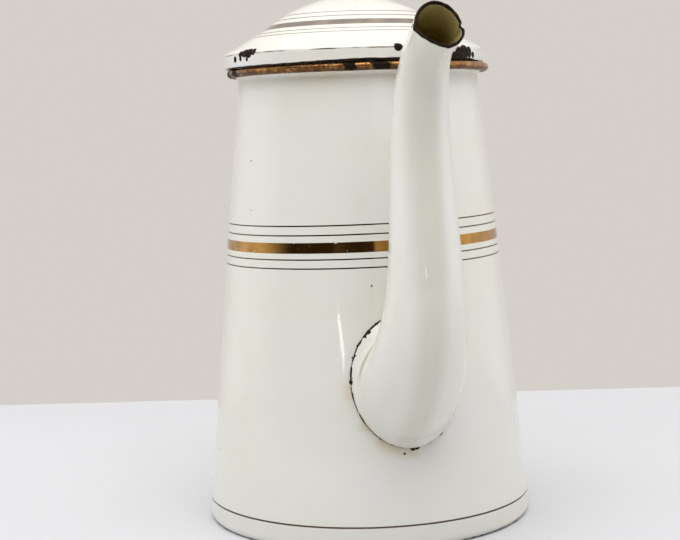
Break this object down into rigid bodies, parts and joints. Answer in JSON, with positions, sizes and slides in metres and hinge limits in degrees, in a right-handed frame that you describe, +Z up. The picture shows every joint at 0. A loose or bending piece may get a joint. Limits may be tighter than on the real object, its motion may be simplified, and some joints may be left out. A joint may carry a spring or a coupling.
{
  "type": "enamel coffee pot",
  "caption": "Tall tapered enamelled coffee pot with a gooseneck spout, a gilt rolled rim and bands, a strap handle and a hinged domed lid with a ball knob.",
  "frame": {"origin": "centre of the foot, on the plane that the foot ring stands on, on the pot's axis", "axes": "+Z up along the pot's axis, spout towards -Y, handle and lid hinge towards +Y, +X to the pot's width"},
  "size_m": [0.144, 0.2456, 0.253],
  "materials": {
    "enamel": "glossy cream vitreous enamel on steel, chipped to black at its edges",
    "gilt_rim": "worn gilding with dark tarnish",
    "bare_steel": "dull, slightly rusted steel",
    "gilt_line": "fired gilt lines painted on the enamel",
    "chip_black": "dark oxidised steel and ground coat where the enamel has broken away"
  },
  "bodies": {
    "pot": {"body_wall": "enamel", "base_pan": "enamel", "rim_bead": "gilt_rim", "rim_wire": "bare_steel", "spout_right": "enamel", "spout_left": "enamel", "handle_shell": "enamel", "handle_liner": "enamel", "hinge_bracket": "enamel", "hinge_pin": "bare_steel", "bracket_rivets": "enamel"},
    "lid": {"lid_shell": "enamel", "lid_skirt": "enamel", "lid_leaf": "enamel", "leaf_rivets": "enamel", "knob_cap": "enamel", "knob_cup": "enamel", "knob_foot": "enamel", "knob_washer": "bare_steel", "knob_rivet": "bare_steel"}
  },
  "joints": [
    {"name": "lid_hinge", "type": "hinge", "parent": "pot", "child": "lid", "pos_m": [0, 0.0645, 0.203], "axis": [-1, 0, 0], "range_deg": [0, 110]}
  ]
}
